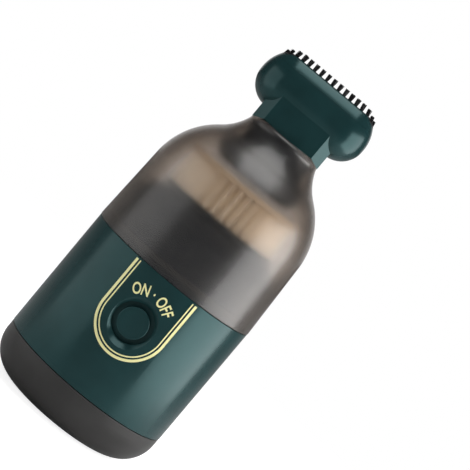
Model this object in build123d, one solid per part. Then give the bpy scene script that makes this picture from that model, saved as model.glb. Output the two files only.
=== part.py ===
from build123d import *
from math import acos, atan2, cos, degrees, hypot, pi, radians, sin, sqrt, tan
import os

# Handheld dust collector that stands on its base: a green drum with the motor and two cells,
# a smoky dust cup above it and a green brush head on top. Millimetres, +Z up, floor at z 0.

# Clearances
SEAM = 0.3
FIT = 0.05
SLIDE = 0.15
RUN = 0.3
SHAFT_RUN = 0.04

# Drum and base cap
DRUM_R = 33.0
DRUM_WALL = 1.8
DRUM_IN_R = DRUM_R - DRUM_WALL
BASE_SEAM_Z = 15.6
CUP_SEAM_Z = 63.4
BASE_STEP = 0.1
BASE_R = DRUM_R - BASE_STEP
BASE_CORNER_R = 12.2
BASE_WALL = 2.0
FOOT_PROUD = 0.2
FOOT_INSET = 2.2
FOOT_W = 4.0
FOOT_OUT_R = BASE_R - BASE_CORNER_R - FOOT_INSET
FOOT_IN_R = FOOT_OUT_R - FOOT_W
FOOT_THICK = 1.0
FOOT_EDGE = 0.1
LIP_T = 1.0
LIP_UP = 3.0

# Base screws, one at each diagonal, between the foot ring and the rounded corner
SCREW_SHANK_R = 1.1
SCREW_HEAD_R = 2.1
SCREW_HEAD_T = 1.5
SCREW_SEAT_Z = 6.8
SCREW_L = 16.0
SCREW_SLOT_L = 1.3
SCREW_SLOT_W = 0.3
SCREW_CLEAR = 1.4
SCREW_RING_R = FOOT_OUT_R + SCREW_CLEAR + SCREW_HEAD_R
PILOT_SPARE = 1.0
BOSS_R = 2.8
WEB_T = 2.0

# Dust cup: tapered wall, dome, flare and collar
CUP_STEP = 0.1
CUP_R = DRUM_R + CUP_STEP
CUP_WALL = 1.6
CUP_RISE = 27.85
CUP_DRAW_IN = 1.25
DOME_C_R = 3.85
DOME_C_Z = CUP_SEAM_Z + SEAM / 2 + CUP_RISE
DOME_R = CUP_R - CUP_DRAW_IN - DOME_C_R
DOME_END_DEG = 52.0
COLLAR_R = 14.6
COLLAR_WALL = 1.6
COLLAR_BORE_R = COLLAR_R - COLLAR_WALL
COLLAR_LIP_R = 2.2
FLARE_END_DEG = 20.0
DOME_END_COS = cos(radians(DOME_END_DEG))
FLARE_END_COS = cos(radians(FLARE_END_DEG))
FLARE_R = (DOME_C_R + DOME_R * DOME_END_COS - COLLAR_R) / (FLARE_END_COS - DOME_END_COS)
FLARE_C_R = DOME_C_R + (DOME_R + FLARE_R) * DOME_END_COS
FLARE_C_Z = DOME_C_Z + (DOME_R + FLARE_R) * sin(radians(DOME_END_DEG))
FLARE_TOP_Z = FLARE_C_Z - FLARE_R * sin(radians(FLARE_END_DEG))
COLLAR_TOP_Z = FLARE_TOP_Z + COLLAR_LIP_R

# Inlet bell inside the collar
SLEEVE_T = 1.2
SLEEVE_L = 15.2
SLEEVE_SINK = 0.4
BELL_R = 17.4
BELL_T = 1.2
BELL_CURL_R = 4.2
BELL_MOUTH_OVER = 1.2
BELL_MOUTH_R = BELL_R - BELL_CURL_R - BELL_MOUTH_OVER
BELL_WIDE_Z = COLLAR_TOP_Z - SLEEVE_L
BELL_LOW_Z = BELL_WIDE_Z - BELL_CURL_R
BELL_NECK_R = 5.0
BELL_SHOULDER_R = 4.5

# Brush head
HEAD_CORE = 11.3
HEAD_HALF_D = 11.5
LOBE_R = 9.4
LOBE_UP = 13.2
LOBE_Z = COLLAR_TOP_Z + LOBE_UP
SHOULDER_R = 14.0
SHOULDER_UP = 0.6
SHOULDER_Z = LOBE_Z + SHOULDER_UP
HEAD_UP = 10.6
HEAD_TOP_Z = LOBE_Z + HEAD_UP
TOP_EDGE_R = 2.5
HEAD_WALL = 2.0
PLATE_T = 4.0
PLATE_Z = HEAD_TOP_Z - PLATE_T
PLATE_PLUG = 1.5
PLUG_SLOT_OVER = 2.0
PLUG_SLOT_W = 1.6
NECK_HALF_W = 14.5
NECK_HALF_D = 11.0
NECK_CHAMFER = 4.0
NECK_SIDE_DROP = 1.65
NECK_RUN_OUT = 1.4
NECK_BORE_R = 9.3
SPIGOT_L = 10.4
SPIGOT_LOW_Z = COLLAR_TOP_Z - SPIGOT_L
O_RING_R = 0.75
O_RING_DOWN = 5.3
O_RING_Z = COLLAR_TOP_Z - O_RING_DOWN

# Bristles
TUFTS = 34
TUFT_CORE = 14.8
TUFT_RING_R = 5.0
TUFT_L = 2.55
TUFT_END_L = 1.3
STRAND_R = 0.17
STRAND_INNER = 3
STRAND_OUTER = 9
STRAND_INNER_R = 0.2
STRAND_OUTER_R = 0.5
STRAND_SPLAY = 0.2
STRAND_ROOT = 0.4
TIP_LEAN_DEG = 16.0
TIP_STEP = 0.12
BACKING_W = 1.7
BACKING_T = 1.4
BACKING_ARC_T = 3.2
MOUTH_R = 3.1

# Motor cover and seal
COVER_GAP = 1.7
COVER_R = CUP_R - CUP_WALL - COVER_GAP
COVER_WALL = 1.8
COVER_IN_R = COVER_R - COVER_WALL
COVER_TOP_Z = 86.8
COVER_SHOULDER_R = 9.5
LEDGE_T = 1.4
LEDGE_W = 1.2
SKIRT_H = 4.0
GRILLE_T = 1.4
GRILLE_SHARES = (0.44, 0.76)
GRILLE_RING_W = 1.0
GRILLE_HUB_R = 1.7
SPOKES = 6
SPOKE_W = 1.3
SEAL_Z = 65.8
SEAL_H = 1.8
SEAL_DEPTH = 0.9
SEAL_GAP = 0.25

# Filter with a bayonet base
FILTER_INSET = 6.9
FILTER_R = COVER_R - FILTER_INSET
FILTER_PLATE_T = 1.8
FILTER_TOP_GAP = 1.8
FILTER_TOP_Z = BELL_LOW_Z - FILTER_TOP_GAP
FILTER_EDGE = 0.5
PLEAT_INSET = 0.6
PLEAT_OUT_R = FILTER_R - PLEAT_INSET
PLEAT_DEPTH = 5.0
PLEAT_T = 0.7
PLEATS = 36
GUIDE_INSET = 3.7
GUIDE_R = PLEAT_OUT_R - PLEAT_DEPTH - GUIDE_INSET
GUIDE_T = 1.4
GUIDE_H = 4.0
EYE_LEDGE = 1.0
EYE_R = GUIDE_R - GUIDE_T - EYE_LEDGE
LUG_T = 1.5
LUG_H = 1.2
LUG_DEG = 20.0
LUG_SLACK_DEG = 6.0
LUG_ANGLES = (90, 210, 330)
TWIST_DEG = 30.0
GASKET_INSET = 3.9
GASKET_R = FILTER_R - GASKET_INSET
GASKET_W = 1.6
GASKET_SINK = 0.8

# Fan and its housing
FAN_PLATE_Z = 66.8
FAN_PLATE_T = 1.6
VANE_GAP = 0.7
VANE_OUT_R = COVER_IN_R - VANE_GAP
VANE_L = 5.8
VANE_IN_R = VANE_OUT_R - VANE_L
VANE_T = 1.0
VANE_H = 10.6
VANES = 15
AIR_SLOT_L = 3.7
AIR_SLOT_IN_R = VANE_OUT_R - AIR_SLOT_L
AIR_SLOT_SHARE = 0.55
SHROUD_INSET = 4.1
SHROUD_R = VANE_OUT_R - SHROUD_INSET
SHROUD_T = 1.2
SHROUD_TUBE_T = 1.2
FAN_EYE_INSET = 1.7
FAN_EYE_R = EYE_R - FAN_EYE_INSET
IMPELLER_GAP_R = 1.9
IMPELLER_R = VANE_IN_R - IMPELLER_GAP_R
IMPELLER_PLATE_T = 1.2
IMPELLER_GAP = 1.4
HUB_R = 4.5
BLADE_T = 0.9
BLADE_RUN = 0.8
BLADE_TIP_GAP = 0.6
BLADES = 9
BLADE_ROOT_R = 5.5
BLADE_TURN_DEG = 45.0
COVER_SCREW_INSET = 2.2
COVER_SCREW_RING_R = COVER_IN_R - COVER_SCREW_INSET
COVER_SCREW_SHANK_R = 0.9
COVER_SCREW_HEAD_R = 1.7
COVER_SCREW_HEAD_T = 1.3
COVER_SCREW_L = 9.0
COVER_BOSS_R = 2.6
COVER_BOSSES = 3

# Motor
MOTOR_R = 11.0
MOTOR_L = 27.5
CAN_T = 0.8
END_CAP_T = 2.4
NOSE_R = 3.0
NOSE_L = 2.2
END_NOSE_L = 1.2
SHAFT_R = 1.0
BUSH_R = 2.2
BUSH_L = 2.8
MAGNET_T = 1.5
MAGNET_DEG = 130.0
AIR_GAP = 0.5
CORE_L = 15.0
POLES = 3
POLE_CORE_R = 3.2
POLE_W = 3.0
POLE_CAP_T = 1.6
POLE_CAP_DEG = 100.0
COMMUTATOR_R = 2.6
COMMUTATOR_L = 3.0
COMMUTATOR_GAP = 1.0
SHAFT_PROUD = 0.4
MOTOR_SCREW_PITCH = 6.5
MOTOR_SCREW_R = 0.8
MOTOR_SCREW_L = 3.4
MOTOR_SCREW_HEAD_R = 1.5
MOTOR_SCREW_HEAD_T = 0.9
TERMINAL_X = 6.2
TERMINAL_T = 0.8
TERMINAL_W = 1.6
TERMINAL_L = 2.0
CARBON_W = 1.8

# Cells and cradle
CELL_GAP = 0.65
CELL_WALL_GAP = 1.45
CELL_R = (DRUM_IN_R - MOTOR_R - CELL_GAP - CELL_WALL_GAP) / 2
CELL_X = MOTOR_R + CELL_GAP + CELL_R
CELL_L = 49.4
CELL_Z = 9.1
CELL_EDGE = 0.6
CRADLE_PLATE_T = 1.3
CRADLE_RIM_T = 1.0
CRADLE_RIM_H = 8.0
CRADLE_INSET = 2.6
CRADLE_R = DRUM_IN_R - CRADLE_INSET
CRADLE_POST_R = 2.2
CRADLE_POST_Y = 5.0
STRAP_W = 6.0
TAB_T = 0.2
TAB_L = 9.0
STRAP_OVER = 2.0

# Push button, its dish and the gold lines round it
BUTTON_Z = 45.0
BUTTON_R = 5.6
MOAT_R = 7.3
DISH_R = 9.4
DISH_SLOPE_DEG = 39.0
DISH_OVER = 2.0
BUTTON_SINK = 0.6
BUTTON_FRONT = DRUM_R - BUTTON_SINK
BUTTON_CAP_T = 2.5
BUTTON_EDGE = 0.35
BUTTON_DISH = 0.15
BUTTON_TRAVEL = 1.0
STEM_R = 2.6
POCKET_DEPTH = 4.4
POCKET_FLOOR_Y = DRUM_R - POCKET_DEPTH
POCKET_FLOOR_T = 1.2
POCKET_WALL = 1.4
POCKET_COVER = 0.6
CLIP_R = 3.5
CLIP_T = 0.9
STEM_L = 2.9
STEM_END_Y = POCKET_FLOOR_Y - STEM_L
U_OUT_R = 13.1
U_OUT_W = 0.9
U_GAP = 0.65
U_IN_W = 0.45
U_TOP_GAP = 0.6
U_PROUD = 0.12
U_DEPTH = 0.5

# Control board behind the button
BOARD_HALF_W = 15.0
BOARD_LOW_Z = 25.8
BOARD_TOP_Z = 56.8
BOARD_DOWN = 6.1
BOARD_FRONT_Y = STEM_END_Y - BOARD_DOWN
BOARD_T = 1.6
STANDOFF_X = 12.0
STANDOFF_R = 2.3
STANDOFF_COVER = 3.4
STANDOFF_ZS = (29.3, 53.3)
SWITCH_HALF = 3.5
SWITCH_T = 3.6
PLUNGER_R = 1.6
PLUNGER_SINK = 1.8
BOARD_SCREW_L = 6.0
CHIP_HALF = 3.0
CHIP_T = 1.2
COIL_R = 3.2
COIL_H = 2.8
CAPACITOR_R = 2.6
CAPACITOR_H = 4.5
PARTS_X = 8.0
PARTS_Z = 38.8

# Charging socket and light at the back
SOCKET_Z = 24.8
SOCKET_HALF_W = 4.5
SOCKET_HALF_H = 4.0
SOCKET_NOSE_R = 3.4
SOCKET_NOSE_L = 4.0
SOCKET_BORE_R = 1.8
SOCKET_BORE_L = 10.0
SOCKET_PIN_R = 0.65
SOCKET_PIN_L = 7.0
SIDE_BOARD_IN = 16.0
SIDE_BOARD_Y = DRUM_R - SIDE_BOARD_IN
SIDE_BOARD_T = 1.2
SIDE_BOARD_GAP = 0.75
SIDE_BOARD_HALF_W = SCREW_RING_R * cos(radians(45)) - BOSS_R - SIDE_BOARD_GAP
SIDE_BOARD_HALF_H = 6.5
LIGHT_X = 8.5
LIGHT_R = 1.0

# Exhaust at the back
SLOTS = 7
SLOT_PITCH = 3.0
SLOT_H = 1.5
SLOT_LOW_Z = 37.3
SLOT_REACH = 8.0
SLOT_HALF_W = 12.5
SLOT_RIB = 1.6
FOAM_T = 2.0
FOAM_DEG = 56.0

# Leads
LEAD_R = 0.55
MOTOR_LEAD_DROP = 4.5
MOTOR_LEAD_BEND = 4.0
CELL_LEAD_Y = -3.0
CELL_LEAD_RISE = 4.0
CELL_LEAD_DIP = 1.5
CELL_LEAD_BENDS = [1.7, 3.5, 2.4]
CELL_LEAD_PLACES = ((15.0, -12.5), (10.0, -12.5))
CELL_LEAD_Z = 48.8
SOCKET_LEAD_X = 2.5
SOCKET_LEAD_ZS = (27.8, 29.8)
SOCKET_LEAD_YS = (SIDE_BOARD_Y - 10.0, SIDE_BOARD_Y - 23.0)
SOCKET_LEAD_BEND = 40.0

# Derived levels and radii
DRUM_LOW_Z = BASE_SEAM_Z + SEAM / 2
DRUM_TOP_Z = CUP_SEAM_Z - SEAM / 2
BASE_TOP_Z = BASE_SEAM_Z - SEAM / 2
CUP_LOW_Z = CUP_SEAM_Z + SEAM / 2
LIP_TOP_Z = BASE_TOP_Z + LIP_UP
BOSS_LOW_Z = LIP_TOP_Z + SEAM
BASE_FLOOR_Z = FOOT_PROUD + BASE_WALL
LEDGE_TOP_Z = DRUM_TOP_Z - SKIRT_H
LEDGE_LOW_Z = LEDGE_TOP_Z - LEDGE_T
SLEEVE_OUT_R = COLLAR_BORE_R - FIT
SLEEVE_IN_R = SLEEVE_OUT_R - SLEEVE_T
SPIGOT_R = SLEEVE_IN_R - 1.5 * SLIDE
O_RING_MAJOR_R = SLEEVE_IN_R - SHAFT_RUN - O_RING_R
NECK_LOW_Z = COLLAR_TOP_Z + SLIDE
COVER_SHOULDER_C_R = COVER_R - COVER_SHOULDER_R
COVER_SHOULDER_C_Z = COVER_TOP_Z - COVER_SHOULDER_R
FAN_PLATE_TOP_Z = FAN_PLATE_Z + FAN_PLATE_T
SHROUD_Z = FAN_PLATE_TOP_Z + VANE_H
IMPELLER_Z = FAN_PLATE_TOP_Z + IMPELLER_GAP
BLADE_TOP_Z = SHROUD_Z - BLADE_RUN
MOTOR_LOW_Z = FAN_PLATE_Z - MOTOR_L
END_CAP_LOW_Z = MOTOR_LOW_Z - END_CAP_T
CORE_LOW_Z = MOTOR_LOW_Z + (MOTOR_L - CORE_L) / 2
MAGNET_IN_R = MOTOR_R - CAN_T - FIT - MAGNET_T
CORE_R = MAGNET_IN_R - AIR_GAP
BOARD_BACK_Y = BOARD_FRONT_Y - BOARD_T
FILTER_LOW_Z = COVER_TOP_Z + RUN
FILTER_CAP_Z = FILTER_TOP_Z - FILTER_PLATE_T
CRADLE_TOP_Z = CELL_Z - TAB_T
CELL_TOP_Z = CELL_Z + CELL_L
COMMUTATOR_LOW_Z = CORE_LOW_Z - COMMUTATOR_GAP - COMMUTATOR_L
DIAGONALS = [45 + 90 * quarter for quarter in range(4)]
BEYOND = 60.0


def ring(r_in, r_out, z_low, z_high):
    return extrude(Pos(0, 0, z_low) * (Circle(r_out) - Circle(r_in)), z_high - z_low)


def disc(radius, z_low, z_high):
    return extrude(Pos(0, 0, z_low) * Circle(radius), z_high - z_low)


def block(x_low, x_high, y_low, y_high, z_low, z_high):
    centre = Pos((x_low + x_high) / 2, (y_low + y_high) / 2, (z_low + z_high) / 2)
    return centre * Box(x_high - x_low, y_high - y_low, z_high - z_low)


def bar_y(radius, y_low, y_high, x=0.0, z=0.0):
    """Round bar along Y."""
    return Pos(x, (y_low + y_high) / 2, z) * (Rot(90, 0, 0) * Cylinder(radius, y_high - y_low))


def sector(r_in, r_out, z_low, z_high, middle_deg, width_deg):
    """Part of a ring, as wide as an angle under 180 degrees."""
    reach = 2 * r_out / cos(radians(width_deg / 2))
    edges = [middle_deg - width_deg / 2, middle_deg + width_deg / 2]
    corners = [(0, 0)] + [(reach * cos(radians(a)), reach * sin(radians(a))) for a in edges]
    wedge = extrude(Pos(0, 0, z_low) * make_face(Polyline(*corners, close=True)), z_high - z_low)
    return ring(r_in, r_out, z_low, z_high) & wedge


def slab(z_low, z_high):
    """Block wider than the whole object."""
    return block(-BEYOND, BEYOND, -BEYOND, BEYOND, z_low, z_high)


def at_angles(shape, angles):
    return [Rot(0, 0, angle) * shape for angle in angles]


def turned(*edges):
    """Solid of revolution about Z from edges drawn as (radius, height)."""
    return revolve(Plane.XZ * make_face(Curve() + list(edges)), axis=Axis.Z)


def arc_about(centre, radius, from_deg, to_deg):
    return CenterArc(centre, radius, from_deg, to_deg - from_deg)


def screw(shank_r, length, head_r, head_t):
    """Screw along Z with its seat at z 0, its head above and its shank below."""
    body = disc(head_r, 0, head_t) + disc(shank_r, -length, 0)
    slot = Box(SCREW_SLOT_L * head_r, SCREW_SLOT_W * head_r, head_t)
    return body - Pos(0, 0, head_t) * (slot + Rot(0, 0, 90) * slot)


def diagonal_points():
    return [Rot(0, 0, a) * Pos(SCREW_RING_R, 0, 0) for a in DIAGONALS]


def base_form(inset):
    """Solid form of the base cap, inset by its wall."""
    corner_c = BASE_R - BASE_CORNER_R
    corner_z = FOOT_PROUD + BASE_CORNER_R
    side = BASE_R - inset
    low = FOOT_PROUD + inset
    return turned(
        Line((0, low), (corner_c, low)),
        arc_about((corner_c, corner_z), BASE_CORNER_R - inset, -90, 0),
        Polyline((side, corner_z), (side, BASE_TOP_Z), (0, BASE_TOP_Z), (0, low)),
    )


def make_base_cap():
    lip_r = DRUM_IN_R - FIT
    lip_low = FOOT_PROUD + BASE_CORNER_R
    cap = base_form(0) - base_form(BASE_WALL)
    cap += ring(lip_r - LIP_T, lip_r, lip_low, LIP_TOP_Z)
    for place in diagonal_points():
        cap += place * disc(BOSS_R, FOOT_PROUD, LIP_TOP_Z)
    cap &= base_form(0) + disc(lip_r, lip_low, LIP_TOP_Z)
    for place in diagonal_points():
        cap -= place * disc(SCREW_SHANK_R + SLIDE, 0, LIP_TOP_Z + 1)
        cap -= place * disc(SCREW_HEAD_R + SLIDE, 0, SCREW_SEAT_Z)
    groove_top = FOOT_THICK + FIT
    return cap - ring(FOOT_IN_R - FIT, FOOT_OUT_R + FIT, 0, groove_top)


def make_foot_ring():
    foot = ring(FOOT_IN_R, FOOT_OUT_R, 0, FOOT_THICK)
    return chamfer(foot.edges().group_by(Axis.Z)[0], FOOT_EDGE)


def make_base_screws():
    one = Rot(180, 0, 0) * screw(SCREW_SHANK_R, SCREW_L, SCREW_HEAD_R, SCREW_HEAD_T)
    return Compound([place * (Pos(0, 0, SCREW_SEAT_Z) * one) for place in diagonal_points()])


def u_band(outer_r, width):
    """Band shaped like a U round the button, seen from the front."""
    top = DRUM_TOP_Z - U_TOP_GAP - BUTTON_Z
    outer = Circle(outer_r) + Pos(0, top / 2) * Rectangle(2 * outer_r, top)
    inner_r = outer_r - width
    inner = Circle(inner_r) + Pos(0, top) * Rectangle(2 * inner_r, 2 * top)
    upper_half = Pos(0, outer_r + top) * Rectangle(4 * outer_r, 2 * outer_r)
    return (outer - inner) - upper_half


def u_solid(outer_r, width, r_in, r_out):
    """The band wrapped on the drum between two radii."""
    face = Plane.XZ * (Pos(0, BUTTON_Z) * u_band(outer_r, width))
    prism = extrude(face, DRUM_R + 5)
    return prism & ring(r_in, r_out, DRUM_LOW_Z, DRUM_TOP_Z + 1)


def make_trims():
    inner_out = U_OUT_R - U_OUT_W - U_GAP
    outer = u_solid(U_OUT_R, U_OUT_W, DRUM_R - U_DEPTH, DRUM_R + U_PROUD)
    inner = u_solid(inner_out, U_IN_W, DRUM_R - U_DEPTH, DRUM_R + U_PROUD)
    return outer, inner


def boss_web(place_angle, z_low, z_high):
    web = block(SCREW_RING_R, DRUM_IN_R + DRUM_WALL / 3, -WEB_T / 2, WEB_T / 2, z_low, z_high)
    return Rot(0, 0, place_angle) * web


def make_drum():
    drum = ring(DRUM_IN_R, DRUM_R, DRUM_LOW_Z, DRUM_TOP_Z)
    drum += ring(DRUM_IN_R - LEDGE_W, DRUM_IN_R + FIT, LEDGE_LOW_Z, LEDGE_TOP_Z)
    boss_top = SCREW_SEAT_Z + SCREW_L + 2 * PILOT_SPARE
    for angle, place in zip(DIAGONALS, diagonal_points()):
        drum += place * disc(BOSS_R, BOSS_LOW_Z, boss_top)
        drum += boss_web(angle, BOSS_LOW_Z, boss_top)
    for place in diagonal_points():
        drum -= place * disc(SCREW_SHANK_R + FIT, BOSS_LOW_Z, boss_top - PILOT_SPARE)
    pocket_back = POCKET_FLOOR_Y - POCKET_FLOOR_T
    pocket = bar_y(MOAT_R + POCKET_WALL, -DRUM_R, -pocket_back, z=BUTTON_Z)
    drum += pocket & disc(DRUM_R - POCKET_COVER, DRUM_LOW_Z, DRUM_TOP_Z)
    drum -= bar_y(MOAT_R, -DRUM_R - 5, -POCKET_FLOOR_Y, z=BUTTON_Z)
    drum -= bar_y(STEM_R + RUN, -DRUM_R, -pocket_back + 1, z=BUTTON_Z)
    slope = tan(radians(DISH_SLOPE_DEG))
    dish_h = (DISH_R + DISH_OVER) * slope
    dish_top = DRUM_R + DISH_OVER * slope
    dish = Cone(0.01, DISH_R + DISH_OVER, dish_h)
    drum -= Pos(0, -dish_top + dish_h / 2, BUTTON_Z) * (Rot(90, 0, 0) * dish)
    inner_out = U_OUT_R - U_OUT_W - U_GAP
    groove_r = DRUM_R - U_DEPTH - FIT
    drum -= u_solid(U_OUT_R + FIT, U_OUT_W + 2 * FIT, groove_r, DRUM_R + 1)
    drum -= u_solid(inner_out + FIT, U_IN_W + 2 * FIT, groove_r, DRUM_R + 1)
    for x in (-STANDOFF_X, STANDOFF_X):
        for z in STANDOFF_ZS:
            post = bar_y(STANDOFF_R, -DRUM_R, -BOARD_FRONT_Y - FIT, x, z)
            drum += post & disc(DRUM_IN_R + DRUM_WALL / 3, DRUM_LOW_Z, DRUM_TOP_Z)
    for x in (-STANDOFF_X, STANDOFF_X):
        for z in STANDOFF_ZS:
            drum -= bar_y(COVER_SCREW_SHANK_R + FIT, -DRUM_IN_R + STANDOFF_COVER, 0, x, z)
    for row in range(SLOTS):
        z = SLOT_LOW_Z + row * SLOT_PITCH
        for side in (-1, 1):
            x = side * (SLOT_RIB + SLOT_HALF_W) / 2
            half = (SLOT_HALF_W - SLOT_RIB) / 2
            drum -= block(x - half, x + half, DRUM_IN_R - SLOT_REACH, DRUM_R + 1, z, z + SLOT_H)
    drum -= bar_y(SOCKET_NOSE_R + FIT, DRUM_IN_R - 3, DRUM_R + 1, z=SOCKET_Z)
    drum -= bar_y(LIGHT_R + FIT, DRUM_IN_R - SLOT_REACH, DRUM_R + 1, LIGHT_X, SOCKET_Z)
    return drum


def make_button():
    """Cap with a fine raised edge, its stem and the clip behind the pocket floor."""
    back = BUTTON_FRONT - BUTTON_CAP_T
    cap = bar_y(BUTTON_R, -BUTTON_FRONT, -back, z=BUTTON_Z)
    front_edge = cap.edges().group_by(Axis.Y)[0]
    cap = fillet(front_edge, BUTTON_EDGE)
    dish_r = BUTTON_R - 2 * BUTTON_EDGE
    cap -= bar_y(dish_r, -BUTTON_FRONT - 1, -BUTTON_FRONT + BUTTON_DISH, z=BUTTON_Z)
    clip_front = POCKET_FLOOR_Y - POCKET_FLOOR_T - RUN
    cap += bar_y(STEM_R, -back, -STEM_END_Y, z=BUTTON_Z)
    cap += bar_y(CLIP_R, -clip_front, -clip_front + CLIP_T, z=BUTTON_Z)
    return cap


def make_plunger():
    back_y = BOARD_FRONT_Y + SWITCH_T - PLUNGER_SINK + BUTTON_TRAVEL
    return bar_y(PLUNGER_R, -STEM_END_Y, -back_y, z=BUTTON_Z)


def make_switch():
    front = BOARD_FRONT_Y + SWITCH_T
    half = SWITCH_HALF
    body = block(-half, half, -front, -BOARD_FRONT_Y, BUTTON_Z - half, BUTTON_Z + half)
    bore_y = front - PLUNGER_SINK - RUN
    return body - bar_y(PLUNGER_R + SLIDE, -front - 1, -bore_y, z=BUTTON_Z)


def make_board():
    """Control board with the chip, coil and capacitor on its back."""
    w = BOARD_HALF_W
    board = block(-w, w, -BOARD_FRONT_Y, -BOARD_BACK_Y, BOARD_LOW_Z, BOARD_TOP_Z)
    for x in (-STANDOFF_X, STANDOFF_X):
        for z in STANDOFF_ZS:
            board -= bar_y(COVER_SCREW_SHANK_R + SLIDE, -BOARD_FRONT_Y - 1, 0, x, z)
    back = -BOARD_BACK_Y
    chip = block(-CHIP_HALF, CHIP_HALF, back, back + CHIP_T, PARTS_Z, PARTS_Z + 2 * CHIP_HALF)
    coil = bar_y(COIL_R, back, back + COIL_H, -PARTS_X, PARTS_Z)
    capacitor = bar_y(CAPACITOR_R, back, back + CAPACITOR_H, PARTS_X, PARTS_Z)
    return board, Compound([chip, coil, capacitor])


def make_board_screws():
    one = screw(COVER_SCREW_SHANK_R, BOARD_SCREW_L, COVER_SCREW_HEAD_R, COVER_SCREW_HEAD_T)
    one = Rot(-90, 0, 0) * one
    places = [(x, z) for x in (-STANDOFF_X, STANDOFF_X) for z in STANDOFF_ZS]
    return Compound([Pos(x, -BOARD_BACK_Y, z) * one for x, z in places])


def make_socket():
    """Charging socket body with its nose through the drum, and the pin inside."""
    board_y = SIDE_BOARD_Y + SIDE_BOARD_T
    nose_y = DRUM_R - SOCKET_NOSE_L
    low_z = SOCKET_Z - SOCKET_HALF_H
    body = block(-SOCKET_HALF_W, SOCKET_HALF_W, board_y, nose_y, low_z, SOCKET_Z + SOCKET_HALF_H)
    body += bar_y(SOCKET_NOSE_R, nose_y - 1, DRUM_R, z=SOCKET_Z)
    bore_end = DRUM_R - SOCKET_BORE_L
    body -= bar_y(SOCKET_BORE_R, bore_end, DRUM_R + 1, z=SOCKET_Z)
    pin = bar_y(SOCKET_PIN_R, bore_end, bore_end + SOCKET_PIN_L, z=SOCKET_Z)
    return body, pin


def make_side_board():
    back = SIDE_BOARD_Y + SIDE_BOARD_T
    w = SIDE_BOARD_HALF_W
    h = SIDE_BOARD_HALF_H
    return block(-w, w, SIDE_BOARD_Y, back, SOCKET_Z - h, SOCKET_Z + h)


def make_light_pipe():
    end = sqrt(DRUM_R**2 - LIGHT_X**2) - SLIDE
    return bar_y(LIGHT_R, SIDE_BOARD_Y + SIDE_BOARD_T, end, LIGHT_X, SOCKET_Z)


def make_foam():
    out_r = DRUM_IN_R - SLIDE
    top = LEDGE_LOW_Z - RUN
    return sector(out_r - FOAM_T, out_r, SLOT_LOW_Z - FOAM_T, top, 90, FOAM_DEG)


def make_cells():
    cells = []
    for side in (-1, 1):
        cell = Pos(side * CELL_X, 0, 0) * disc(CELL_R, CELL_Z, CELL_TOP_Z)
        cells.append(fillet(cell.edges(), CELL_EDGE))
    return cells


def make_cradle():
    rim_in = CELL_R + SLIDE
    rim_r = rim_in + CRADLE_RIM_T
    low = CRADLE_TOP_Z - CRADLE_PLATE_T
    high = CELL_Z + CRADLE_RIM_H
    cradle = block(-CRADLE_R, CRADLE_R, -CELL_R, CELL_R, low, CRADLE_TOP_Z)
    for side in (-1, 1):
        cradle += Pos(side * CELL_X, 0, 0) * disc(rim_r, low, high)
    for side in (-1, 1):
        cradle -= Pos(side * CELL_X, 0, 0) * disc(rim_in, CRADLE_TOP_Z, high + 1)
    cradle &= disc(CRADLE_R, low - 1, high + 1)
    for x in (-CELL_X / 2, CELL_X / 2):
        for y in (-CRADLE_POST_Y, CRADLE_POST_Y):
            cradle += Pos(x, y, 0) * disc(CRADLE_POST_R, BASE_FLOOR_Z, CRADLE_TOP_Z)
    slot_w = STRAP_W / 2 + SLIDE
    rim_cut = block(-CELL_X, CELL_X, -slot_w, slot_w, CRADLE_TOP_Z, high + 1)
    return cradle - rim_cut


def make_tabs():
    """Nickel strap under both cells and a tab on top of each."""
    w = STRAP_W / 2
    reach = CELL_X + STRAP_OVER
    strap = block(-reach, reach, -w, w, CRADLE_TOP_Z, CELL_Z)
    tabs = [strap]
    for side in (-1, 1):
        x = side * CELL_X
        tabs.append(block(x - w, x + w, -TAB_L / 2, TAB_L / 2, CELL_TOP_Z, CELL_TOP_Z + TAB_T))
    return Compound(tabs)


def cover_boss_angles():
    return [360 / COVER_BOSSES * k for k in range(COVER_BOSSES)]


def fan_slots():
    """Angles of the air slots, between vanes and clear of the screw bosses."""
    angles = [360 / VANES * k for k in range(VANES)]
    return [a for a in angles if a not in cover_boss_angles()]


def make_fan_housing():
    plate_r = COVER_IN_R - SLIDE
    housing = ring(NOSE_R + FIT, plate_r, FAN_PLATE_Z, FAN_PLATE_TOP_Z)
    vane = block(VANE_IN_R, VANE_OUT_R, -VANE_T / 2, VANE_T / 2, FAN_PLATE_TOP_Z, SHROUD_Z - FIT)
    housing += at_angles(vane, [360 / VANES * (k + 0.5) for k in range(VANES)])
    slot_deg = AIR_SLOT_SHARE * 360 / VANES
    slot = sector(AIR_SLOT_IN_R, VANE_OUT_R, FAN_PLATE_Z, FAN_PLATE_TOP_Z, 0, slot_deg)
    for cut in at_angles(slot, fan_slots()):
        housing -= cut
    hole = Pos(COVER_SCREW_RING_R, 0, 0)
    hole *= disc(COVER_SCREW_SHANK_R + SLIDE, FAN_PLATE_Z, FAN_PLATE_TOP_Z)
    for cut in at_angles(hole, cover_boss_angles()):
        housing -= cut
    for side in (-1, 1):
        hole_r = MOTOR_SCREW_R + SLIDE
        housing -= Pos(0, side * MOTOR_SCREW_PITCH, 0) * disc(hole_r, FAN_PLATE_Z, FAN_PLATE_TOP_Z)
    return housing


def make_cover_screws():
    one = Rot(180, 0, 0) * screw(
        COVER_SCREW_SHANK_R, COVER_SCREW_L, COVER_SCREW_HEAD_R, COVER_SCREW_HEAD_T
    )
    one = Pos(COVER_SCREW_RING_R, 0, FAN_PLATE_Z) * one
    return Compound(at_angles(one, cover_boss_angles()))


def make_shroud():
    tube_top = COVER_TOP_Z - COVER_WALL - FIT
    plate = ring(FAN_EYE_R, SHROUD_R, SHROUD_Z, SHROUD_Z + SHROUD_T)
    return plate + ring(EYE_R, EYE_R + SHROUD_TUBE_T, SHROUD_Z, tube_top)


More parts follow.
